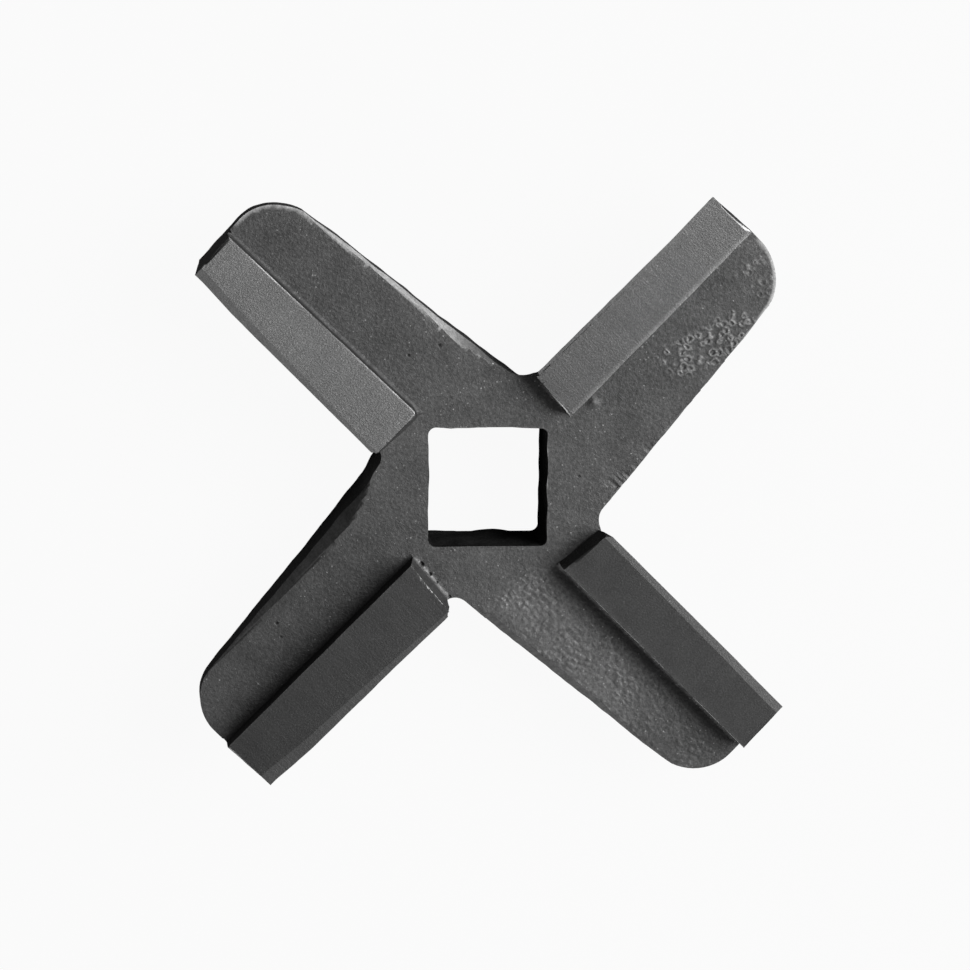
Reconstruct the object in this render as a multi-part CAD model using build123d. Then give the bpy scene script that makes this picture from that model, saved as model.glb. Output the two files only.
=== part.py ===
from build123d import *
import math
import os

# Meat grinder knife, size 22: one casting with a square drive hole and four cutting arms.
#
# Frame: millimetres, +Z up. The origin is where the axis of the drive hole meets the flat
# underside of the hub. The sides of the hole are parallel to X and Y and the arms lie on the
# diagonals. The cutting side faces +Z, and the knife turns counter-clockwise seen from there.

# ---- driving dimensions (mm, degrees) -------------------------------------------------
drive_square = 12.5      # across the flats of the drive hole
drive_corner_r = 0.8     # rounded corners of the hole
arm_count = 4
arm_reach = 37.8         # axis to the outer end of the cutting edge, along the arm
hub_height = 11.0        # flat underside of the hub to its flat top
bar_height = 3.75        # top of the hub to the cutting lands

# one arm, lying along +X with its cutting side on +Y
edge_offset = 5.6        # centre line of the arm to the cutting edge
rake_angle = 10.0        # undercut of the leading face
land_width = 0.65        # flat land behind the cutting edge
relief_angle = 3.9       # fall of the bar's top behind the land
bar_back = 0.4           # back wall of the bar, behind the centre line
bar_start = 11.3         # inner end of the bar's top, at its back wall
bar_start_skew = 5.5     # the inner end is not quite square to the arm
bar_start_lean = 10.5    # lean of the inner end away from the hub
bar_corner = 0.45        # corner taken off between the inner end and the cutting edge
bar_foot_r = 0.45        # cast radius at the foot of the back wall
end_skew = 2.9           # the outer end is not quite square to the arm
tail_offset = 10.85      # trailing edge of the web's top, behind the axis
tail_taper = 6.0         # narrowing of the web towards its tip
tail_draft = 1.35        # draft of the trailing wall
tip_corner_r = 4.8       # rounded trailing corner of the tip
notch_r = 2.0            # inside radius between two arms
hub_apron = 0.3          # flat underside of the hub past the inside radii
tip_rise = 8.0           # underside of the tip above the underside of the hub
under_edge_r = 0.4       # cast radius along the undersides of the arms

# the bevel ground along the trailing edge of each web
bevel_width = 1.2        # across the web's top, at its widest place
bevel_drop = 2.4         # down the trailing wall, at the same place
bevel_start = 0.6        # where it runs out near the hub, past the inside radius
bevel_rise = 4.5         # from there to its widest place
bevel_end = 3.5          # where it runs out near the tip, short of the arm's end

# ---- derived --------------------------------------------------------------------------
land_z = hub_height + bar_height
block = 3 * arm_reach    # larger than the knife, for the blocks that cut it
tiny = 0.01


def vector_at(angle, side=0.0):
    """Unit vector at an angle above +X in the XZ plane, turned aside about Z."""
    a = math.radians(angle)
    b = math.radians(side)
    return Vector(math.cos(a) * math.cos(b), math.cos(a) * math.sin(b), math.sin(a))


def beyond(point, normal):
    """A large block that fills the side of a plane that its normal points to."""
    return extrude(Plane(origin=point, z_dir=normal) * Rectangle(2 * block, 2 * block), block)


def tail_y(x):
    """Trailing edge of the web's top at a distance x along the arm."""
    return x * math.tan(math.radians(tail_taper)) - tail_offset


def cut_front(arm):
    """Cuts the undercut leading face, which web and bar share."""
    return arm - beyond((0, edge_offset, land_z), vector_at(-rake_angle, 90))


def cut_end(arm):
    """Cuts the outer end, which web and bar share."""
    return arm - beyond((arm_reach, edge_offset, 0), vector_at(0, end_skew))


def notch_end(from_arm):
    """Where the inside radius between two arms ends, along this arm or along the next."""
    start = -tail_y(edge_offset) if from_arm else edge_offset
    return start + notch_r


def upright_edges(solid):
    """Edges that climb through most of the hub's height."""
    return solid.edges().filter_by(lambda e: abs((e @ 1).Z - (e @ 0).Z) > hub_height / 2)


def under_edges(web):
    """Trailing and outer edges of the sloping underside of one arm."""
    slope = web.faces().filter_by(lambda f: f.normal_at().Z < -0.5 and f.center().Z > tiny)
    return slope.edges().filter_by(lambda e: e.center().Y < arm_reach / 2 and (e @ 0.5).Z > tiny)


def make_web():
    """Body of one arm up to the level of the hub's top."""
    web = Box(block, block, hub_height, align=(Align.MIN, Align.CENTER, Align.MIN))
    web = Pos(-drive_square / 2, 0, 0) * web
    web -= beyond((0, tail_y(0), hub_height), vector_at(-tail_draft, tail_taper - 90))
    web = cut_end(web)
    tip_corner = upright_edges(web).sort_by(lambda e: (e @ 0.5).X - (e @ 0.5).Y)[-1]
    web = fillet([tip_corner], tip_corner_r)
    hub_reach = notch_end(True) + hub_apron
    climb = math.degrees(math.atan2(tip_rise, arm_reach - hub_reach))
    web -= beyond((hub_reach, 0, 0), vector_at(climb - 90))
    return cut_front(fillet(under_edges(web), under_edge_r))


def make_bevel():
    """What grinding took off the trailing edge: a long wedge that runs out at both ends."""
    start = notch_end(False) + bevel_start
    widest = start + bevel_rise
    edge = Vector(widest, tail_y(widest), hub_height)
    upper = edge + Vector(0, bevel_width, 0)
    lower = edge - Vector(0, 0, bevel_drop)
    wedge = None
    for run_out in (start, arm_reach - bevel_end):
        end = Vector(run_out, tail_y(run_out), hub_height)
        normal = (lower - upper).cross(end - upper)
        side = beyond(upper, normal if normal.Z > 0 else -normal)
        wedge = side if wedge is None else wedge & side
    return wedge


def make_bar():
    """Raised cutting bar of one arm, from the web's top to the cutting land."""
    sunk = bar_foot_r
    width = bar_back + edge_offset
    bar = Box(block, width, bar_height + sunk, align=(Align.MIN, Align.MIN, Align.MIN))
    bar = Pos(0, -bar_back, hub_height - sunk) * bar
    bar -= beyond((0, edge_offset - land_width, land_z), vector_at(90 - relief_angle, -90))
    bar -= beyond((bar_start, -bar_back, land_z), vector_at(bar_start_lean, 180 - bar_start_skew))
    corner_x = bar_start + width * math.tan(math.radians(bar_start_skew)) + bar_corner
    bar -= beyond((corner_x, edge_offset, land_z), vector_at(bar_start_lean, 135))
    return cut_end(cut_front(bar))


def turned(arm):
    """Copies of one arm's shape on all four diagonals."""
    step = 360 / arm_count
    return [Rot(0, 0, (index + 0.5) * step) * arm for index in range(arm_count)]


def notch_edges(body):
    """Inside corners between neighbouring arms."""
    corner = math.hypot(tail_y(edge_offset), edge_offset)

    def near_corner(edge):
        middle = edge @ 0.5
        return abs(math.hypot(middle.X, middle.Y) - corner) < notch_r
    return upright_edges(body).filter_by(near_corner)


def foot_edges(body):
    """Inside corners where the back walls of the bars stand on the webs."""
    def at_foot(edge):
        start = edge @ 0
        way = edge % 0.5
        level = abs(start.Z - hub_height) + abs((edge @ 1).Z - hub_height) < tiny
        aside = abs(start.X * way.Y - start.Y * way.X)
        return level and abs(aside - bar_back) < tiny
    return body.edges().filter_by(at_foot)


def make_knife():
    body = Part() + turned(make_web() - make_bevel())
    body = fillet(notch_edges(body), notch_r)
    body += turned(make_bar())
    body = fillet(foot_edges(body), bar_foot_r)
    return body - extrude(RectangleRounded(drive_square, drive_square, drive_corner_r), land_z)


knife = make_knife()
os.makedirs("parts", exist_ok=True)
export_step(knife, "parts/knife.step")
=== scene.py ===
import math

import bmesh
import bpy
from mathutils import Matrix, Vector, kdtree, noise


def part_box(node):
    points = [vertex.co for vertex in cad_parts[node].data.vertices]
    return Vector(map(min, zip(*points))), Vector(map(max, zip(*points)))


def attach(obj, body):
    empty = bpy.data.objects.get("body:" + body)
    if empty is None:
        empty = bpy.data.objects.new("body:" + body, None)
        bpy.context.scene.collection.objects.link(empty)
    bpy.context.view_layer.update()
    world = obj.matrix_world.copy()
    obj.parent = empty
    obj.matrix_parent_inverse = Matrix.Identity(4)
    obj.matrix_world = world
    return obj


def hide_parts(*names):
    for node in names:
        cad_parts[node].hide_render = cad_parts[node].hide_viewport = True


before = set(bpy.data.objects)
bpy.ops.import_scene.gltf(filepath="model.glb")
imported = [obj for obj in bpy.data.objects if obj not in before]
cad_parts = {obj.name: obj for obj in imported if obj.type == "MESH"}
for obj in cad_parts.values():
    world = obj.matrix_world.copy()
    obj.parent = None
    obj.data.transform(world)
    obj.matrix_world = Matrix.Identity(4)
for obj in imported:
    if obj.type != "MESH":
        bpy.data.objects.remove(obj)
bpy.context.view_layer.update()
mm = 0.001
noise.seed_set(1)   # noise_vector would otherwise start from the clock

# the knife's own lines in millimetres, along and across an arm that lies on +X
knifeForm = {
    "armCount": 4,
    "armReach": 37.8,
    "hubTop": 11.0,
    "landTop": 14.75,
    "topZone": 3.0,     # how far below the hub's top an arm's upper side goes down
    "backLine": -0.4,
    "barStart": 11.3,
    "barStartRun": 0.7,
    "barStartSkew": 5.5,
    "tailLine": (-10.85, 0.105),   # across at the axis, and gain along the arm
}
hubTop = knifeForm["hubTop"]
backLine = knifeForm["backLine"]


def armAngle(index):
    return math.radians((index + 0.5) * 360 / knifeForm["armCount"])


armTurns = [Matrix.Rotation(armAngle(index), 3, "Z") for index in range(knifeForm["armCount"])]
armFrames = [Matrix.Rotation(-armAngle(index), 3, "Z") for index in range(knifeForm["armCount"])]


def armWay(index, quarter=0):  # along an arm, or square to it
    angle = armAngle(index) + quarter * math.pi / 2
    return Vector((math.cos(angle), math.sin(angle), 0))


def inArmFrame(point):  # index of the nearest arm, and the point in millimetres in its frame
    step = 2 * math.pi / knifeForm["armCount"]
    index = math.floor(math.atan2(point.y, point.x) / step) % knifeForm["armCount"]
    return index, armFrames[index] @ (point / mm)


def clamp(value):
    return max(0.0, min(1.0, value))


def easeBetween(low, high, value):  # 0 at low, 1 at high, smooth between
    t = clamp((value - low) / (high - low))
    return t * t * (3 - 2 * t)


def valueAt(places, x):  # straight between the places given along the arm
    if x <= places[0][0]:
        return places[0][1]
    for (x0, low), (x1, high) in zip(places, places[1:]):
        if x <= x1:
            return low + (high - low) * (x - x0) / (x1 - x0)
    return places[-1][1]


def within(p, x, y):
    return x[0] < p.x < x[1] and y[0] < p.y < y[1]


# ways of building node trees

def newMaterial(name):
    material = bpy.data.materials.new(name)
    material.use_nodes = True
    return material, material.node_tree, material.node_tree.nodes["Principled BSDF"]


def addNode(tree, kind, settings=None, **inputs):
    node = tree.nodes.new(kind)
    for key, value in (settings or {}).items():
        setattr(node, key, value)
    for key, value in inputs.items():
        node.inputs[key.replace("_", " ")].default_value = value
    return node


def objectPlace(tree):  # object coordinates in millimetres
    coords = addNode(tree, "ShaderNodeTexCoord")
    mapping = addNode(tree, "ShaderNodeMapping", Scale=[1 / mm] * 3)
    tree.links.new(coords.outputs["Object"], mapping.inputs["Vector"])
    return mapping.outputs["Vector"]


def armPlace(tree, stretch):  # place in the arm's own frame, stretched along and across
    place = addNode(tree, "ShaderNodeAttribute", {"attribute_name": "armPlace"})
    mapping = addNode(tree, "ShaderNodeMapping", Scale=stretch)
    tree.links.new(place.outputs["Vector"], mapping.inputs["Vector"])
    return mapping.outputs["Vector"]


def noiseAt(tree, place, scale, detail=3.0, rough=0.6):
    node = addNode(tree, "ShaderNodeTexNoise", Scale=scale, Detail=detail, Roughness=rough)
    tree.links.new(place, node.inputs["Vector"])
    return node.outputs["Fac"]


def ramp(tree, value, stops):
    node = addNode(tree, "ShaderNodeValToRGB")
    ends = node.color_ramp.elements
    for element, (position, grey) in zip((ends[0], ends[1]), (stops[0], stops[-1])):
        element.position = position
        element.color = (grey, grey, grey, 1)
    for position, grey in stops[1:-1]:
        ends.new(position).color = (grey, grey, grey, 1)
    tree.links.new(value, node.inputs["Fac"])
    return node.outputs["Color"]


def spread(values, low=0.3, high=0.7):  # ramp stops over a noise's usual range
    return [(low, values[0]), (high, values[1])]


def feed(tree, value, socket):  # a link or a plain number
    if hasattr(value, "links"):
        tree.links.new(value, socket)
    else:
        socket.default_value = value


def combine(tree, kind, first, second, amount=1.0):
    node = addNode(tree, "ShaderNodeMix", {"data_type": "RGBA", "blend_type": kind})
    colours = [socket for socket in node.inputs if socket.type == "RGBA"]
    tree.links.new(first, colours[0])
    tree.links.new(second, colours[1])
    feed(tree, amount, node.inputs["Factor"])
    return [socket for socket in node.outputs if socket.type == "RGBA"][0]


def arithmetic(tree, kind, first, second):
    node = addNode(tree, "ShaderNodeMath", {"operation": kind, "use_clamp": kind != "MULTIPLY"})
    for socket, value in zip(node.inputs, (first, second)):
        feed(tree, value, socket)
    return node.outputs["Value"]


def stored(tree, name):  # a number that the mesh carries
    return addNode(tree, "ShaderNodeAttribute", {"attribute_name": name}).outputs["Fac"]


def bump(tree, shader, heights):  # heights are pairs of a noise and its depth in millimetres
    below = None
    for height, distance in heights:
        node = addNode(tree, "ShaderNodeBump", Strength=1.0, Distance=distance * mm)
        tree.links.new(height, node.inputs["Height"])
        if below:
            tree.links.new(below, node.inputs["Normal"])
        below = node.outputs["Normal"]
    tree.links.new(below, shader.inputs["Normal"])


castSkin = {
    "grey": (0.112, 0.195),        # blasted tops, darkest and lightest
    "shadeGrey": (0.026, 0.048),    # painted shade on walls, rims and underside
    "wornHighlightGrey": (0.4, 0.8),        # wear and painted highlights on edges
    "broadGain": (0.86, 1.12),
    "roughness": (0.50, 0.62),
    "grainScale": 3.4,
    "grainHeight": 0.046,
    "fineScale": 8.0,
    "fineHeight": 0.012,
    "speckScale": 1.7,
    "speckShare": 0.44,
    "speckGain": 3.2,
    "coverGain": 1.7,   # how soon painted shade, and wear with painted highlights, hide the blasted metal's sheen
}
barTop = {
    "grey": (0.18, 0.285),
    "broadGain": (0.93, 1.06),
    "roughness": (0.375, 0.415),
    "grainScale": 5.2,
    "grainHeight": 0.019,
    "markStretch": (3.2, 0.4, 1.0),
    "markGain": (0.95, 1.04),
    "markHeight": 0.010,
    "speckScale": 1.9,
    "speckShare": 0.3,
    "speckGain": 1.7,
}
barLand = {**barTop, "grey": (0.25, 0.33), "roughness": (0.39, 0.43), "grainHeight": 0.016,
           "speckGain": 1.5}
tailBevel = {
    "grey": (0.23, 0.35),
    "grainGain": (0.8, 1.2),
    "roughness": 0.6,
    "ribStretch": (2.4, 0.15, 0.15),
    "ribHeight": 0.03,
    "grainScale": 3.4,
    "grainHeight": 0.03,
}
broadScale = 0.3
speckSize = (0.07, 0.16)   # a speck's core and rim, as shares of its cell
speckSoft = 0.06


def uneven(tree, place, tone, look):  # broad lighter and darker areas
    broad = noiseAt(tree, place, broadScale)
    return combine(tree, "MULTIPLY", tone, ramp(tree, broad, spread(look["broadGain"])))


def speckled(tree, place, tone, look):  # scattered bright specks over a tone
    share, gain = look["speckShare"], look["speckGain"]
    specks = addNode(tree, "ShaderNodeTexVoronoi", {"feature": "F1"}, Scale=look["speckScale"])
    tree.links.new(place, specks.inputs["Vector"])
    near = ramp(tree, specks.outputs["Distance"], spread((1.0, 0.0), *speckSize))
    chosen = spread((0.0, 1.0), 1 - speckSoft - share, 1 + speckSoft - share)
    amount = arithmetic(tree, "MULTIPLY", near, ramp(tree, specks.outputs["Color"], chosen))
    bright = combine(tree, "MULTIPLY", tone, ramp(tree, near, [(0.0, gain), (1.0, gain)]))
    return combine(tree, "MIX", tone, bright, amount)


def overlaid(tree, tone, grain, greys, amount):  # another grey, where the mesh is marked
    return combine(tree, "MIX", tone, ramp(tree, grain, spread(greys)), amount)


# blasted casting: sandy grain, bright peened specks, painted shade on walls, rims, creases and pits,
# and wear with painted highlights on edges
def castMaterial():
    material, tree, shader = newMaterial("castSkin")
    place = objectPlace(tree)
    grain = noiseAt(tree, place, castSkin["grainScale"])
    fine = noiseAt(tree, place, castSkin["fineScale"], detail=2.0, rough=0.5)
    low, high = castSkin["grey"]
    tone = ramp(tree, grain, [(0.3, low), (0.55, (low + high) / 2), (0.75, high)])
    tone = uneven(tree, place, tone, castSkin)
    # painted light per arm: the tone is raised on the arms that face the key light and lowered on
    # those that face away
    tone = combine(tree, "MULTIPLY", tone, stored(tree, "armLightGain"))
    tone = speckled(tree, place, tone, castSkin)
    # painted shade on walls, rims, creases and pits, then wear with painted highlights on edges
    dark = stored(tree, "paintedShade")
    bare = stored(tree, "wornEdgeHighlight")
    tone = overlaid(tree, tone, grain, castSkin["shadeGrey"], dark)
    tone = overlaid(tree, tone, grain, castSkin["wornHighlightGrey"], bare)
    tree.links.new(tone, shader.inputs["Base Color"])
    # the painted shade and the painted highlights both take away the metal's sheen
    covered = arithmetic(tree, "MAXIMUM", dark, bare)
    covered = arithmetic(tree, "MULTIPLY", covered, castSkin["coverGain"])
    tree.links.new(arithmetic(tree, "SUBTRACT", 1.0, covered), shader.inputs["Metallic"])
    dull = ramp(tree, grain, spread(castSkin["roughness"][::-1], high=0.75))
    tree.links.new(dull, shader.inputs["Roughness"])
    shader.inputs["Specular IOR Level"].default_value = 0.0
    bump(tree, shader, [(grain, castSkin["grainHeight"]), (fine, castSkin["fineHeight"])])
    return material


# ground steel under a light blast: fine grain over faint marks that run across the bar
def groundMaterial(name, look):
    material, tree, shader = newMaterial(name)
    place = objectPlace(tree)
    grain = noiseAt(tree, place, look["grainScale"], rough=0.65)
    marks = noiseAt(tree, armPlace(tree, look["markStretch"]), 1.0)
    tone = uneven(tree, place, ramp(tree, grain, spread(look["grey"])), look)
    tone = combine(tree, "MULTIPLY", tone, ramp(tree, marks, spread(look["markGain"], 0.35, 0.65)))
    tone = speckled(tree, place, tone, look)
    # painted light per arm, then wear with painted highlights on the bar edges
    tone = combine(tree, "MULTIPLY", tone, stored(tree, "armLightGain"))
    tone = overlaid(tree, tone, grain, castSkin["wornHighlightGrey"], stored(tree, "wornEdgeHighlight"))
    tree.links.new(tone, shader.inputs["Base Color"])
    dull = ramp(tree, grain, spread(look["roughness"][::-1]))
    tree.links.new(dull, shader.inputs["Roughness"])
    shader.inputs["Metallic"].default_value = 1.0
    bump(tree, shader, [(grain, look["grainHeight"]), (marks, look["markHeight"])])
    return material


# rough grinding along the trailing edge, with marks square to it
def bevelMaterial():
    material, tree, shader = newMaterial("tailBevel")
    ribs = noiseAt(tree, armPlace(tree, tailBevel["ribStretch"]), 1.0)
    grain = noiseAt(tree, objectPlace(tree), tailBevel["grainScale"])
    tone = ramp(tree, ribs, spread(tailBevel["grey"]))
    tone = combine(tree, "MULTIPLY", tone, ramp(tree, grain, spread(tailBevel["grainGain"])))
    # painted shade on the bevel, set per arm, then wear with painted highlights along the trailing
    # edge
    tone = overlaid(tree, tone, grain, castSkin["shadeGrey"], stored(tree, "paintedShade"))
    tone = overlaid(tree, tone, grain, castSkin["wornHighlightGrey"], stored(tree, "wornEdgeHighlight"))
    tree.links.new(tone, shader.inputs["Base Color"])
    shader.inputs["Roughness"].default_value = tailBevel["roughness"]
    shader.inputs["Metallic"].default_value = 0.0
    shader.inputs["Specular IOR Level"].default_value = 0.0
    bump(tree, shader, [(ribs, tailBevel["ribHeight"]), (grain, tailBevel["grainHeight"])])
    return material


# what differs from arm to arm, in millimetres: how far the bar's back and the trailing edge
# lean in at the tip, how much the tip is short, how far the bar's inner foot is set in, how
# much wider the land is at its inner and outer end, the round of the bar's inner back corner,
# the painted light on the bar and the web (lighter on the arms that face the key light), and how wide
# the bevel is at places along the arm
armQuirks = [
    {"backLean": 0.38, "tailLean": 0.10, "tipShort": 0.35, "footIn": 0.6, "land": (-0.35, -0.2),
     "corner": 0.0, "barLightGain": 0.86, "webLightGain": 0.86,
     "bevel": ((8.0, 0.1), (12.9, 0.25), (34.0, 0.05))},
    {"backLean": 0.75, "tailLean": 0.85, "tipShort": 0.0, "footIn": -0.1, "land": (-0.25, 0.35),
     "corner": 0.9, "barLightGain": 1.0, "webLightGain": 1.0,
     "bevel": ((8.2, 0.0), (13.0, 0.85), (18.0, 0.34), (34.0, 0.24))},
    {"backLean": 0.0, "tailLean": 0.0, "tipShort": 0.2, "footIn": 0.0, "land": (-0.35, 0.75),
     "corner": 0.0, "barLightGain": 0.72, "webLightGain": 0.83,
     "bevel": ((8.2, 0.0), (12.9, 1.2), (34.0, 0.2))},
    {"backLean": 0.0, "tailLean": 0.0, "tipShort": 0.25, "footIn": 0.28, "land": (0.0, 0.3),
     "corner": 0.0, "barLightGain": 0.82, "webLightGain": 0.81,
     "bevel": ((8.0, 0.7), (12.9, 0.85), (24.0, 0.75), (30.0, 0.2), (34.0, 0.0))},
]
quirkReach = {
    "leanFront": 5.0,           # across, where the back's lean has died out
    "leanDepth": 8.0,           # from the bar's back to where the trailing edge's lean is full
    "tip": (28.0, 38.0),        # along, where a short tip starts and is full
    "tipAcross": (0.5, 6.0),
    "footAlong": (1.2, 2.0),    # to the hub's side and the tip's side of the foot
    "footHeight": (8.0, 10.9),
    "footAcross": (-1.6, -0.6),
    "landLine": 4.95,
    "barFront": 5.1,
}
tailEdge = {
    "start": 8.2,
    "widest": 12.7,
    "end": 34.3,
    "width": 1.2,
    "least": 0.05,   # narrower than this it stays as drawn
    "full": 0.45,
    "reach": 4.5,    # how far in the web gives way with it
}


def bevelShift(index, p):  # moves the bevel's upper line in or out, and the web beside it less
    across, gain = knifeForm["tailLine"]
    start, widest, end = tailEdge["start"], tailEdge["widest"], tailEdge["end"]
    inside = p.y - across - gain * p.x
    now = tailEdge["width"] * min((p.x - start) / (widest - start), (end - p.x) / (end - widest))
    low = p.z < hubTop - knifeForm["topZone"]
    if low or now < tailEdge["least"] or not 0 < inside < tailEdge["reach"]:
        return 0.0
    change = valueAt(armQuirks[index]["bevel"], p.x) - now
    change *= easeBetween(tailEdge["least"], tailEdge["full"], now)
    if inside < now:
        return change * inside / now
    return change * (tailEdge["reach"] - inside) / (tailEdge["reach"] - now)


def cornerShift(radius, p, wall):  # rounds the bar's inner back corner, seen from above
    u = p.x - wall
    v = p.y - backLine
    if p.z < hubTop + 0.05 or u > radius or v > radius:
        return Vector()
    away = math.hypot(radius - u, radius - v)
    if away <= radius:
        return Vector()
    pull = 1 - radius / away
    return Vector(((radius - u) * pull, (radius - v) * pull, 0))


def quirkShift(index, p):
    quirk = armQuirks[index]
    out = clamp((p.x - knifeForm["barStart"]) / (knifeForm["armReach"] - knifeForm["barStart"]))
    if p.y > backLine:
        front = quirkReach["leanFront"]
        lean = quirk["backLean"] * clamp((front - p.y) / (front - backLine))
    else:
        away = clamp((backLine - p.y) / quirkReach["leanDepth"])
        lean = quirk["backLean"] * (1 - away) + quirk["tailLean"] * away
    short = quirk["tipShort"] * easeBetween(*quirkReach["tip"], p.x)
    short *= easeBetween(*quirkReach["tipAcross"], -p.y)
    rise = (p.z - hubTop) / (knifeForm["landTop"] - hubTop)
    wall = knifeForm["barStart"] - knifeForm["barStartRun"] * (1 - rise)
    wall += (p.y - backLine) * math.tan(math.radians(knifeForm["barStartSkew"]))
    hubSide, tipSide = quirkReach["footAlong"]
    near = clamp(1 - ((p.x - wall) / tipSide if p.x > wall else (wall - p.x) / hubSide))
    low = clamp(1 - rise) * easeBetween(*quirkReach["footHeight"], p.z)
    low *= easeBetween(*quirkReach["footAcross"], p.y)
    wide = 0.0
    if rise > 0.5 and p.y < quirkReach["barFront"]:
        inner, outer = quirk["land"]
        share = clamp((p.y - backLine) / (quirkReach["landLine"] - backLine))
        wide = (inner + (outer - inner) * out) * share
    along = quirk["footIn"] * near * low - short
    shift = Vector((along, lean * out - wide + bevelShift(index, p), 0))
    if quirk["corner"]:
        shift += cornerShift(quirk["corner"], p, wall)
    return shift


# how far the arms' trailing and leading edges lie to the leading side of the drawn lines, at
# places along the arm, and how far the bar's inner end is set in at its back and its front
edgeLines = [
    {"tail": ((8.0, -0.05), (10.4, -0.28), (13.0, -0.36), (31.0, -0.4), (34.0, -0.25),
              (37.0, -0.1)),
     "front": ((10.5, 0.0), (13.0, -0.12), (32.0, -0.12), (36.0, 0.0)),
     "end": (0.0, 0.0)},
    {"tail": ((8.0, 0.16), (15.0, 0.22), (19.6, 0.0), (24.0, -0.12), (29.0, -0.33),
              (34.0, -0.3), (36.0, 0.05)),
     "front": ((10.0, 0.1), (12.0, 0.24), (32.0, 0.22), (36.5, 0.0)),
     "end": (-0.2, -0.56)},
    {"tail": ((8.0, 0.8), (10.4, 0.88), (15.0, 0.86), (22.0, 0.71), (29.0, 0.44), (36.0, 0.25)),
     "front": ((10.5, 0.2), (12.5, 0.6), (16.0, 0.5), (20.0, 0.4), (32.0, 0.34), (36.8, 0.0)),
     "end": (0.0, 0.0)},
    {"tail": ((8.0, -0.05), (10.4, -0.23), (14.0, -0.32), (20.0, -0.2), (24.0, -0.1),
              (31.0, -0.12), (36.0, 0.2)),
     "front": ((10.0, 0.0), (12.0, 0.05), (30.0, 0.06), (34.0, 0.0)),
     "end": (0.0, 0.0)},
]
edgeReach = {
    "root": (6.0, 8.4),         # along, where the shifts start and are full
    "across": (-13.0, 9.0),
    "tailDepth": 8.5,           # from the bar's back to where a shift is full
    "frontDepth": 6.0,
    "frontFade": (7.0, 9.0),
    "endStart": (8.5, 10.6),
    "endFade": (12.5, 17.0),
    "endBack": -2.5,
    "endFront": (6.0, 8.0),
}


def outlineShift(point):  # summed over all arms, so that it runs on through the notches
    total = Vector()
    for turn, turnBack, lines in zip(armTurns, armFrames, edgeLines):
        p = turnBack @ (point / mm)
        if p.x < edgeReach["root"][0] or not edgeReach["across"][0] < p.y < edgeReach["across"][1]:
            continue
        front = clamp((p.y - backLine) / edgeReach["frontDepth"])
        if p.y < backLine:
            across = valueAt(lines["tail"], p.x) * clamp((backLine - p.y) / edgeReach["tailDepth"])
        else:
            across = valueAt(lines["front"], p.x) * front
            across *= 1 - easeBetween(*edgeReach["frontFade"], p.y)
        inner, outer = lines["end"]
        along = inner + (outer - inner) * front
        along *= easeBetween(*edgeReach["endStart"], p.x)
        along *= 1 - easeBetween(*edgeReach["endFade"], p.x)
        along *= easeBetween(edgeReach["endBack"], backLine, p.y)
        along *= 1 - easeBetween(*edgeReach["endFront"], p.y)
        total += turn @ Vector((along, across * easeBetween(*edgeReach["root"], p.x), 0))
    return total


# places with relief of their own, by arm, with their reach along and across the arm
reliefPatches = {
    "cratered": {"arm": 0, "x": (20.6, 37.6), "y": (-9.0, -1.6), "height": 0.085, "size": 0.8,
                 "cell": 0.13, "rimAt": 0.40, "rimWidth": 0.085, "soft": 0.8},
    "scaly": {"arm": 3, "x": (8.0, 37.4), "y": (-9.9, -0.9), "height": 0.06, "size": 0.6,
              "soft": 1.6},
    "ribbed": {"arm": 0, "x": (4.5, 17.0), "y": (-11.0, -7.4), "height": 0.09, "size": 0.42},
    "bead": {"arm": 2, "x": (9.9, 12.3), "y": (-0.8, 6.0), "height": 0.1, "size": 0.22},
    "blob": {"arm": 0, "x": (12.9, 15.0), "y": (-2.5, -0.5), "height": 0.2, "size": 0.45},
}
pits = [  # arm, along, across, radius, depth
    (2, 25.54, -5.92, 0.22, 0.14), (2, 26.29, -4.43, 0.16, 0.1), (1, 14.13, -6.94, 0.18, 0.12),
    (1, 15.68, -4.09, 0.16, 0.12), (0, 7.48, -5.94, 0.16, 0.12), (2, 10.6, 0.8, 0.3, 0.4),
    (2, 10.7, 2.14, 0.2, 0.25), (2, 10.8, 3.2, 0.12, 0.15), (2, 10.98, 5.1, 0.24, 0.3),
]
knifeSkin = {
    "cellSize": 0.5,       # millimetres between cuts, all over and in the patches
    "fineCell": 0.16,
    "pitCell": 0.1,
    "pitPatch": 0.45,
    "cellOffset": 0.37,    # keeps the cuts off the knife's own lines
    "sharpAngle": 18.0,
    "shortest": 0.1,       # shorter edges are merged away
    "clearance": 0.3,      # an edge is rounded only if the unrounded ones beside it are longer
    "topEdge": 0.26,       # how far each kind of edge is rounded
    "footEdge": 0.3,
    "sideEdge": 0.12,
    "backEdge": 0.14,
    "groundEdge": 0.05,
    "castHeight": 0.035,
    "groundHeight": 0.006,
    "wallWave": 0.075,
    "holeWave": 0.22,
    "holeReach": 6.8,
}
finishes = {"cast": 0, "ground": 1, "land": 2, "bevel": 3}
finishLimits = {"top": 0.9, "land": 0.9995, "bevel": 0.2, "bevelSide": -4.4, "worn": 0.97}


def finishOf(face):  # by where a CAD face lies on its arm
    centre = inArmFrame(face.calc_center_median())[1]
    flat = face.normal.z
    if flat > finishLimits["top"] and centre.z > hubTop + 1:
        return finishes["land"] if flat > finishLimits["land"] else finishes["ground"]
    tailSide = centre.y < finishLimits["bevelSide"] and centre.z > hubTop / 2
    if finishLimits["bevel"] < flat < finishLimits["top"] and tailSide:
        return finishes["bevel"]
    return finishes["cast"]


def isGround(face):
    return face.material_index in (finishes["ground"], finishes["land"])


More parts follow.
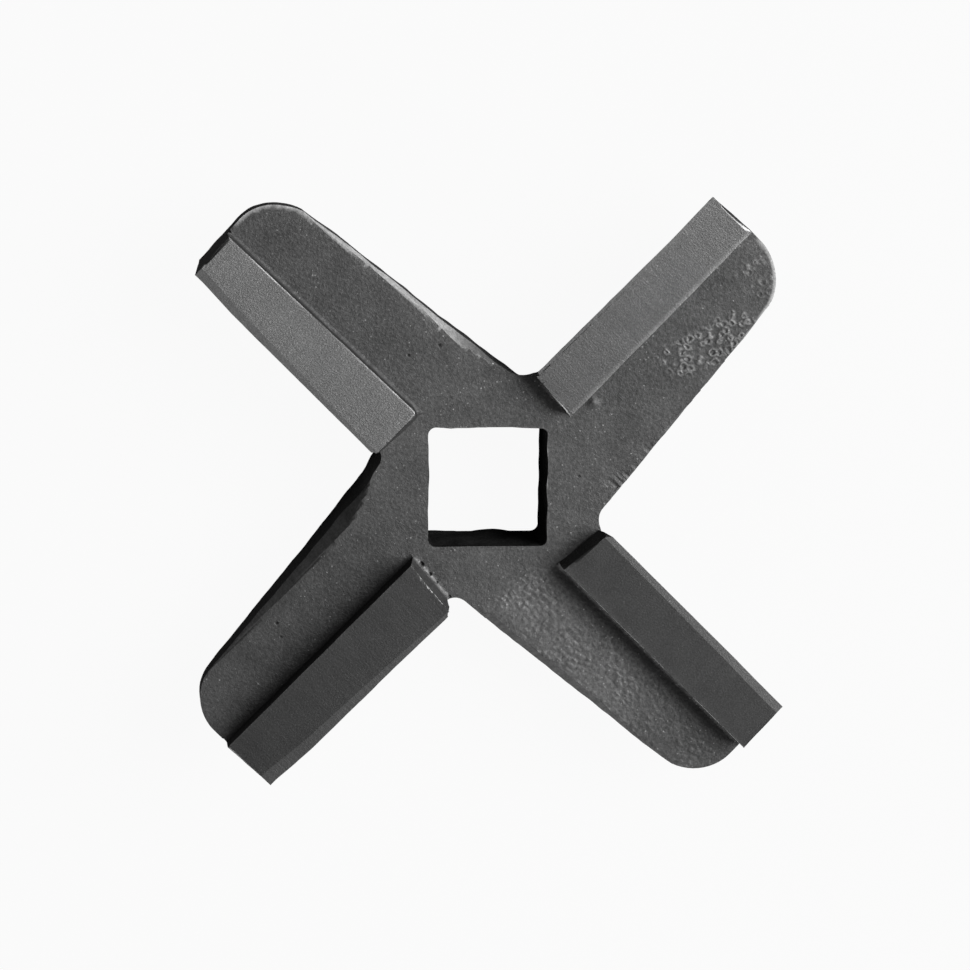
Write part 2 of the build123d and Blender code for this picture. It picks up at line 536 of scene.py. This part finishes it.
def edgeKind(edge):  # which rounding an edge gets, if any
    middle = inArmFrame((edge.verts[0].co + edge.verts[1].co) / 2)[1]
    low, high = sorted(vert.co.z / mm for vert in edge.verts)
    if any(isGround(face) for face in edge.link_faces):
        return "backEdge" if middle.y < 0 else "groundEdge"
    if any(face.material_index == finishes["bevel"] for face in edge.link_faces):
        return None
    if high < 0.01:
        return "footEdge"
    if low > hubTop - 0.1:
        return "topEdge" if high < hubTop + 0.1 else "sideEdge"
    return None


def wearEdges(mesh):  # breaks the sharp edges; clamping keeps the narrow places whole
    limit = math.radians(knifeSkin["sharpAngle"])
    clear = knifeSkin["clearance"] * mm
    for kind in ("topEdge", "footEdge", "sideEdge", "backEdge", "groundEdge"):
        picked = [edge for edge in mesh.edges if edge.is_manifold and edge.is_convex
                  and edge.calc_face_angle() > limit and edgeKind(edge) == kind]
        kept = set(picked)
        picked = [edge for edge in picked if all(other in kept or other.calc_length() > clear
                                                 for vert in edge.verts for other in vert.link_edges)]
        bmesh.ops.bevel(mesh, geom=picked, offset=knifeSkin[kind] * mm, offset_type="OFFSET",
                        affect="EDGES", segments=3, profile=0.5, material=-1, clamp_overlap=True)
        print("broken edges", kind, len(picked))
    for face in mesh.faces:  # the worn back edge shows as casting
        centre = inArmFrame(face.calc_center_median())[1]
        if isGround(face) and centre.y < 0 and face.normal.z < finishLimits["worn"]:
            face.material_index = finishes["cast"]
    bmesh.ops.dissolve_degenerate(mesh, dist=1e-6, edges=mesh.edges)


# cuts faces along planes a step apart, so that they can carry relief
def sliceFaces(mesh, faces, normal, low, high, step):
    edges = dict.fromkeys(item for face in faces for item in (*face.verts, *face.edges))
    geometry = [*edges, *faces]
    for number in range(math.floor(low / step), math.ceil(high / step)):
        point = normal * (step * (number + knifeSkin["cellOffset"]) * mm)
        cut = bmesh.ops.bisect_plane(mesh, geom=geometry, dist=1e-7, plane_co=point,
                                     plane_no=normal)
        geometry = cut["geom"]


def patchFaces(mesh, arm, x, y):  # the casting's upper faces in a patch
    faces = []
    for face in mesh.faces:
        if face.normal.z > 0.15 and not isGround(face):
            index, centre = inArmFrame(face.calc_center_median())
            high = centre.z > hubTop - knifeForm["topZone"]
            if index == arm and high and within(centre, x, y):
                faces.append(face)
    return faces


def slicePatch(mesh, arm, x, y, step):
    for quarter, reach in enumerate((x, y)):
        sliceFaces(mesh, patchFaces(mesh, arm, x, y), armWay(arm, quarter), *reach, step)


def sliceIntoCells(mesh):
    cell = knifeSkin["cellSize"]
    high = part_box("knife")[1]
    reach = math.hypot(high[0], high[1]) / mm
    for index in (0, 1):
        sliceFaces(mesh, mesh.faces[:], armWay(index), -reach, reach, cell)
    sliceFaces(mesh, mesh.faces[:], Vector((0, 0, 1)), 0, high[2] / mm, cell)
    print("cells all over", len(mesh.faces))
    for patch in reliefPatches.values():
        fine = patch.get("cell", knifeSkin["fineCell"])
        slicePatch(mesh, patch["arm"], patch["x"], patch["y"], fine)
    half = knifeSkin["pitPatch"]
    for arm, x, y, radius, depth in pits:
        slicePatch(mesh, arm, (x - half, x + half), (y - half, y + half), knifeSkin["pitCell"])
    print("cells with patches", len(mesh.faces))


def patchFade(patch, p, soft):  # 0 at the patch's rim, 1 inside
    (left, right), (bottom, top) = patch["x"], patch["y"]
    return easeBetween(0, soft, min(p.x - left, right - p.x, p.y - bottom, top - p.y))


def crateredHeight(patch, p):  # bubbles burst in the skin: bowls with raised rims
    warp = noise.noise_vector(p * 1.4) * 0.22
    near = noise.voronoi(Vector((p.x, p.y, 2.0)) / patch["size"] + warp)[0][0]
    rim = math.exp(-((near - patch["rimAt"]) / patch["rimWidth"]) ** 2)
    bowl = 1 - easeBetween(0.05, patch["rimAt"], near)
    line = -4.3 - (p.x - 22.1) * 0.28      # the thick of them lies along this line
    thick = 1 - easeBetween(1.2, 2.3, abs(p.y - line) + 0.8 * noise.noise(p * 0.7))
    thick *= easeBetween(21.2, 22.6, p.x) * (1 - easeBetween(31.0, 32.4, p.x))
    spots = noise.noise(Vector((p.x, p.y, 9)) * 0.8)
    tip = 0.5 * easeBetween(32.0, 34.0, p.x) * easeBetween(-0.1, 0.25, spots)
    share = max(thick, tip) * patchFade(patch, p, patch["soft"])
    return patch["height"] * (rim - 0.8 * bowl) * share


def scalyHeight(patch, p):  # mottled skin of small flowing scales
    warp = noise.noise_vector(p * 0.9) * 0.5
    near = noise.voronoi(Vector((p.x / 1.3, p.y, 5.0)) / patch["size"] + warp)[0]
    groove = easeBetween(0.0, 0.4, near[1] - near[0])
    ripple = noise.fractal(Vector((p.x, p.y, 1.0)) * 2.4, 0.8, 2.1, 3)
    dense = easeBetween(-0.35, 0.25, noise.noise(Vector((p.x * 0.3, p.y * 0.4, 3.1))))
    dense *= 1 - 0.55 * easeBetween(26, 33, p.x)
    share = (0.25 + 0.75 * dense) * patchFade(patch, p, patch["soft"])
    return patch["height"] * (groove + 0.6 * ripple - 0.5) * share


def ribbedHeight(patch, p):  # short grinding marks across the trailing edge, near the hub
    tail, gain = knifeForm["tailLine"]
    mark = noise.fractal(Vector((p.x / patch["size"], p.y * 0.12, 9.0)), 0.7, 2.0, 2)
    along = easeBetween(4.5, 7.0, p.x) * (1 - easeBetween(14.5, 16.8, p.x))
    inside = p.y - tail - p.x * gain - 0.35 * noise.noise(p * 0.8)
    return patch["height"] * (mark - 0.5) * along * (1 - easeBetween(1.1, 1.9, inside))


def beadHeight(patch, p):  # rough seam at the foot of the bar's inner end
    line = knifeForm["barStart"] - 0.6 + (p.y - backLine) * 0.08
    thick = 1 + 0.5 * noise.noise(p * 2.3)
    ridge = math.exp(-((p.x - line) / patch["size"]) ** 2)
    return patch["height"] * thick * ridge * clamp(p.y + 0.6)


def blobHeight(patch, p):
    middle = Vector((sum(patch["x"]) / 2, sum(patch["y"]) / 2))
    away = (p.xy - middle).length / patch["size"]
    return patch["height"] * math.exp(-away ** 2) * (1 + 0.4 * noise.noise(p * 4))


patchHeights = {
    "cratered": crateredHeight,
    "scaly": scalyHeight,
    "ribbed": ribbedHeight,
    "bead": beadHeight,
    "blob": blobHeight,
}


def pitDepth(index, p):
    deepest = 0.0
    for arm, x, y, radius, depth in pits:
        if arm == index:
            away = math.hypot(p.x - x, p.y - y) / radius
            deepest = max(deepest, depth * (1 - easeBetween(0.35, 1.0, away)))
    return deepest


def upwardHeight(index, p):  # relief of the casting's upper side, up or down
    height = knifeSkin["castHeight"] * noise.fractal(p * 0.22, 1.0, 2.0, 3)
    for name, patch in reliefPatches.items():
        if patch["arm"] == index and within(p, patch["x"], patch["y"]):
            height += patchHeights[name](patch, p)
    return height - pitDepth(index, p)


def levelMove(index, p, level, ground):  # up or down, on the bars only down
    if ground:
        return -knifeSkin["groundHeight"] * (noise.noise(p * 0.8) + 1) / 2
    if not level.length:
        return 0.0
    if level.z > 0:
        return upwardHeight(index, p)
    return knifeSkin["castHeight"] * (noise.noise(p * 0.3) + 1)


def wallMove(index, p, vert, wall, ground):  # inwards; in the drive hole both ways
    if max(abs(vert.co.x), abs(vert.co.y)) < knifeSkin["holeReach"] * mm:
        depth = knifeSkin["holeWave"] * 1.3 * noise.fractal(vert.co / mm * 0.28, 0.9, 2.0, 2)
    else:
        place = Vector((p.x, p.y, p.z * 0.4 + 40 * index)) * 0.45
        depth = knifeSkin["wallWave"] * clamp(0.5 + 0.9 * noise.fractal(place, 0.9, 2.0, 2))
        if ground and p.y > 4:   # the cutting edge stays nearly straight
            depth *= 0.4
    flat = wall.normalized()
    if ground or not 0.5 < p.z < knifeForm["landTop"] - 0.3:
        flat.z = 0
    return -flat * depth


def addRelief(mesh):
    moves = []
    for vert in mesh.verts:
        index, p = inArmFrame(vert.co)
        level = Vector()
        wall = Vector()
        for face in vert.link_faces:
            if abs(face.normal.z) > 0.7:
                level += face.normal * face.calc_area()
            else:
                wall += face.normal * face.calc_area()
        ground = any(isGround(face) for face in vert.link_faces)
        move = Vector((0, 0, levelMove(index, p, level, ground)))
        if wall.length:
            move += wallMove(index, p, vert, wall, ground)
        move += armTurns[index] @ quirkShift(index, p) + outlineShift(vert.co)
        moves.append(move * mm)
    for vert, move in zip(mesh.verts, moves):
        vert.co += move


# where the skin's colour changes, mostly per arm: painted shade by tilt in degrees on walls, rims,
# creases and pits, darker on the arms that face away from the key light, and wear with painted
# highlights on edges that face it
skinMarks = {
    # painted shade on the bevel, per arm and along it
    "bevelDark": (((10.0, 0.45), (30.0, 0.45)), ((13.0, 0.64), (17.0, 0.45)),
                  ((10.0, 0.62), (20.0, 0.55)), ((10.0, 0.5), (30.0, 0.5))),
    # painted shade on steep walls and rims, from a lower tilt on the two arms that face away from the
    # key light
    "rimDark": ((50, 80), (50, 80), (30, 65), (30, 65)),
    "hubReach": 8.8,
    "outerDark": (0.6, 0.62, 0.8, 0.62),   # painted shade on walls away from the hub, per arm
    # painted shade in the crease at the foot of the bar's back
    "footDark": 0.3,
    "footRound": 0.5,
    "litEnd": 0.4,      # less painted shade on the one inner end that faces the key light
    # painted shade in the pits, by their depth
    "pitShade": 25,
    "rimReach": (0.12, 0.42),   # millimetres from an outline edge, on the web, for wear with painted highlight
    "barRimReach": (0.03, 0.26),   # and on the bars
    "holeClear": 7.2,
    # wear with painted highlight along the trailing edges of the two arms that face the key light
    "trailingWearHighlight": (((9.0, 0.25), (30.0, 0.35), (33.5, 1.0)), ((11.0, 0.2), (16.0, 1.0)),
                 ((10.0, 0.0), (30.0, 0.0)), ((10.0, 0.0), (30.0, 0.0))),
    "wearHighlightTilt": ((12, 32), (72, 88)),
    "bareScaly": 0.12,
    # painted highlight on the crater rims, by their height
    "craterRimHighlight": 0.32,
    "bareRib": 0.5,
    # painted highlight on the bead at the bar's inner foot
    "bareBead": 0.25,
    # wear with painted highlights on the bars' back edges, strongest on the arms that face the key
    # light
    "backWearHighlight": (0.42, 0.2, 0.1, 0.1),
}


# painted shade: in the foot crease, on steep walls and rims by tilt, and in the pits
def darkAt(index, p, tilt):
    foot = abs(p.y - backLine + 0.2) < 0.5 and -0.1 < p.z - hubTop < 1.4
    if foot:
        dark = skinMarks["footDark"] * easeBetween(3, 18, tilt)
        dark += skinMarks["footRound"] * easeBetween(45, 80, tilt)
    else:
        dark = easeBetween(*skinMarks["rimDark"][index], tilt)
        if p.x >= skinMarks["hubReach"]:
            dark *= skinMarks["outerDark"][index]
    # the inner end that faces the key light gets less painted shade
    if index == 2 and p.z > hubTop and within(p, (9.5, 12.2), (-0.3, 5.4)):
        dark *= skinMarks["litEnd"]
    return max(dark, clamp(pitDepth(index, p) * skinMarks["pitShade"]))


def raggedAt(p):
    return 0.95 + 0.5 * noise.noise(p * 0.9)


def tailWearHighlight(index, p):  # wear with painted highlight along the trailing edge, on the arms that face the key light
    bare = valueAt(skinMarks["trailingWearHighlight"][index], p.x) * easeBetween(-1.2, -2.4, p.y)
    return clamp(bare * raggedAt(p))


# wear with painted highlights on edges that face the key light; the lighter marks on the scaly patch
# and the ribs are the finish
def wearAndHighlightAt(index, p, tilt):
    rising, falling = skinMarks["wearHighlightTilt"]
    bare = tailWearHighlight(index, p) * easeBetween(*rising, tilt) * (1 - easeBetween(*falling, tilt))
    bare *= easeBetween(2.0, 7.0, p.z)
    patches = {name: patch for name, patch in reliefPatches.items() if patch["arm"] == index}
    level = p.z < hubTop + 0.3
    if level and tilt < 30 and "scaly" in patches:
        fade = patchFade(patches["scaly"], p, 3.0)
        bare += skinMarks["bareScaly"] * fade * (1 - 0.8 * easeBetween(24, 33, p.x))
    if level and "cratered" in patches:
        patch = patches["cratered"]
        if tilt < 30 and within(p, patch["x"], patch["y"]):
            bare += skinMarks["craterRimHighlight"] * clamp(crateredHeight(patch, p) / patch["height"])
    if level and "ribbed" in patches:
        patch = patches["ribbed"]
        if within(p, patch["x"], patch["y"]):
            bare += skinMarks["bareRib"] * clamp(4 * ribbedHeight(patch, p) / patch["height"])
    # painted highlight on the bead
    if "bead" in patches and p.z < hubTop + 0.6:
        if beadHeight(patches["bead"], p) > 0.3 * patches["bead"]["height"]:
            bare += skinMarks["bareBead"]
    # painted highlight with wear on the bar's back edge
    if abs(p.y - backLine) < 0.3 and p.z > hubTop + 2.4 and 12 < tilt < 80:
        bare += skinMarks["backWearHighlight"][index] * (0.8 + 0.6 * noise.noise(p * 1.5))
    return clamp(bare)


def outlineTree(mesh):  # the upper edges of the arms' walls, to find how near a place is to one
    tree = kdtree.KDTree(len(mesh.verts))
    for vert in mesh.verts:
        high = vert.co.z > (hubTop - 0.6) * mm
        clear = max(abs(vert.co.x), abs(vert.co.y)) > skinMarks["holeClear"] * mm
        if high and clear and any(abs(face.normal.z) < 0.3 for face in vert.link_faces):
            tree.insert(vert.co, vert.index)
    tree.balance()
    return tree


def markSkin(mesh):  # stores the place in the arm's frame, the per-arm painted light, the painted shade, and the wear with painted highlights
    placeLayer = mesh.verts.layers.float_vector.new("armPlace")
    toneLayer = mesh.verts.layers.float.new("armLightGain")
    darkLayer = mesh.loops.layers.float.new("paintedShade")
    bareLayer = mesh.loops.layers.float.new("wornEdgeHighlight")
    outline = outlineTree(mesh)
    for vert in mesh.verts:
        index, p = inArmFrame(vert.co)
        quirk = armQuirks[index]
        normal = Vector()
        for face in vert.link_faces:
            normal += face.normal * face.calc_area() ** 1.5
        tilt = math.degrees(normal.angle(Vector((0, 0, 1)))) if normal.length else 0
        vert[placeLayer] = p + Vector((0, 0, 60.0 * index))
        ground = any(isGround(face) for face in vert.link_faces)
        # painted light per arm on the bar and the web
        webLightGain = 1 + (quirk["webLightGain"] - 1) * easeBetween(6, 16, p.x)
        vert[toneLayer] = quirk["barLightGain"] if ground else webLightGain
        dark = darkAt(index, p, tilt)
        bare = wearAndHighlightAt(index, p, tilt)
        # wear with painted highlight along the trailing edge
        worn = tailWearHighlight(index, p)
        away = outline.find(vert.co)[2] / mm
        # wear with painted highlights near the outline edges, on the web and on the bars
        rim = (1 - easeBetween(*skinMarks["rimReach"], away)) * easeBetween(-0.9, -1.6, p.y)
        barRimHighlight = (1 - easeBetween(*skinMarks["barRimReach"], away)) * (1 - easeBetween(1.0, 2.0, p.y))
        barRimHighlight *= skinMarks["backWearHighlight"][index] * raggedAt(p)
        for corner in vert.link_loops:
            top = corner.face.normal.z > 0.7
            if corner.face.material_index == finishes["bevel"]:
                # painted shade on the bevel, per arm
                corner[darkLayer] = valueAt(skinMarks["bevelDark"][index], p.x)
                corner[bareLayer] = worn
            elif isGround(corner.face):
                corner[bareLayer] = clamp(barRimHighlight) if top else 0
            else:
                corner[darkLayer] = dark * (1 - rim) if top else dark
                corner[bareLayer] = max(bare, rim * worn) if top else bare


# normals follow the large faces, so that flats stay flat beside their worn edges, and the
# crease between land and relief stays crisp
def cornerNormals(mesh):
    mesh.normal_update()
    mesh.faces.index_update()
    weighted = [face.normal * face.calc_area() ** 1.5 for face in mesh.faces]
    onLand = [face.material_index == finishes["land"] for face in mesh.faces]
    normals = []
    for face in mesh.faces:
        for vert in face.verts:
            total = Vector()
            for other in vert.link_faces:
                if onLand[other.index] == onLand[face.index]:
                    total += weighted[other.index]
            normals.append(total.normalized())
    return normals


def makeKnife(materials):
    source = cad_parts["knife"]
    mesh = bmesh.new()
    mesh.from_mesh(source.data)
    mesh.transform(source.matrix_world)
    bmesh.ops.remove_doubles(mesh, verts=mesh.verts, dist=1e-6)
    bmesh.ops.dissolve_limit(mesh, angle_limit=math.radians(0.3), verts=mesh.verts,
                             edges=mesh.edges)
    bmesh.ops.remove_doubles(mesh, verts=mesh.verts, dist=knifeSkin["shortest"] * mm)
    for face in mesh.faces:
        face.material_index = finishOf(face)
        face.smooth = True
    wearEdges(mesh)
    sliceIntoCells(mesh)
    markSkin(mesh)
    addRelief(mesh)
    normals = cornerNormals(mesh)
    data = bpy.data.meshes.new("knifeSkin")
    mesh.to_mesh(data)
    mesh.free()
    data.normals_split_custom_set(normals)
    for material in materials:
        data.materials.append(material)
    knife = bpy.data.objects.new("knifeSkin", data)
    bpy.context.scene.collection.objects.link(knife)
    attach(knife, "root")
    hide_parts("knife")
    return knife


studio = {
    "floorSize": 3.0,
    "floorGrey": 0.4,
    "floorRoughness": 0.9,
    "floorWhite": 0.94,   # as the camera and reflections see it
    "worldGrey": 0.055,
}
lamps = {
    "keyLight": {"azimuth": 16.0, "elevation": 47.0, "distance": 0.5, "size": 0.42, "power": 2.6},
    "fillLight": {"azimuth": 255.0, "elevation": 14.0, "distance": 0.6, "size": 0.5, "power": 2.0},
}


def makeFloor():
    mesh = bmesh.new()
    bmesh.ops.create_grid(mesh, x_segments=1, y_segments=1, size=studio["floorSize"] / 2)
    data = bpy.data.meshes.new("floor")
    mesh.to_mesh(data)
    mesh.free()
    floor = bpy.data.objects.new("floor", data)
    bpy.context.scene.collection.objects.link(floor)
    material, tree, shader = newMaterial("paleFloor")
    shader.inputs["Base Color"].default_value = (*[studio["floorGrey"]] * 3, 1)
    shader.inputs["Roughness"].default_value = studio["floorRoughness"]
    shader.inputs["Specular IOR Level"].default_value = 0.0
    white = addNode(tree, "ShaderNodeEmission", Strength=1.0)
    rays = addNode(tree, "ShaderNodeLightPath")
    direct = arithmetic(tree, "MAXIMUM", rays.outputs["Is Camera Ray"],
                        rays.outputs["Is Glossy Ray"])
    direct = arithmetic(tree, "MAXIMUM", direct, rays.outputs["Is Transmission Ray"])
    seen = arithmetic(tree, "MULTIPLY", direct, studio["floorWhite"])
    mix = addNode(tree, "ShaderNodeMixShader")
    tree.links.new(seen, mix.inputs["Fac"])
    tree.links.new(shader.outputs["BSDF"], mix.inputs[1])
    tree.links.new(white.outputs["Emission"], mix.inputs[2])
    tree.links.new(mix.outputs["Shader"], tree.nodes["Material Output"].inputs["Surface"])
    data.materials.append(material)


def makeLights():
    world = bpy.data.worlds.new("studio")
    world.use_nodes = True
    backdrop = world.node_tree.nodes["Background"]
    backdrop.inputs["Color"].default_value = (*[studio["worldGrey"]] * 3, 1)
    bpy.context.scene.world = world
    for name, values in lamps.items():
        lamp = bpy.data.lights.new(name, "AREA")
        lamp.shape = "DISK"
        lamp.size = values["size"]
        lamp.energy = values["power"]
        holder = bpy.data.objects.new(name, lamp)
        bpy.context.scene.collection.objects.link(holder)
        turn = math.radians(values["azimuth"])
        lift = math.radians(values["elevation"])
        flat = math.cos(lift)
        way = Vector((math.cos(turn) * flat, math.sin(turn) * flat, math.sin(lift)))
        holder.location = way * values["distance"]
        holder.rotation_euler = way.to_track_quat("Z", "Y").to_euler()


# the camera looks down the axis, leaning a little to the back left
cameraView = {
    "tilt": 9.672,
    "towards": 118.042,
    "distance": 0.90779,
    "pixel": 0.10396658,   # millimetres in the plane of the hub's top
    "aside": (3.032, -1.865),
    "framePixels": 970,
    "sensor": 36.0,
    "clipEnd": 20,
}


def makeCamera():
    tilt = Matrix.Rotation(math.radians(cameraView["tilt"]), 3, "Y")
    lean = math.radians(cameraView["towards"])
    turn = Matrix.Rotation(lean, 3, "Z") @ tilt @ Matrix.Rotation(-lean, 3, "Z")
    pixel = cameraView["pixel"] * mm
    lens = bpy.data.cameras.new("studioView")
    lens.sensor_width = cameraView["sensor"]
    lens.lens = cameraView["sensor"] * cameraView["distance"] / pixel / cameraView["framePixels"]
    lens.clip_end = cameraView["clipEnd"]
    camera = bpy.data.objects.new("studioView", lens)
    bpy.context.scene.collection.objects.link(camera)
    away = turn @ Vector((0, 0, cameraView["distance"]))
    aside = turn @ Vector((*cameraView["aside"], 0)) * pixel
    place = Vector((0, 0, hubTop * mm)) + away - aside
    camera.matrix_world = Matrix.Translation(place) @ turn.to_4x4()
    bpy.context.scene.camera = camera


bpy.context.scene.view_settings.view_transform = "Standard"
makeFloor()
makeLights()
makeCamera()
print("studio ready")
makeKnife([castMaterial(), groundMaterial("barTop", barTop), groundMaterial("barLand", barLand),
           bevelMaterial()])
print("knife ready")
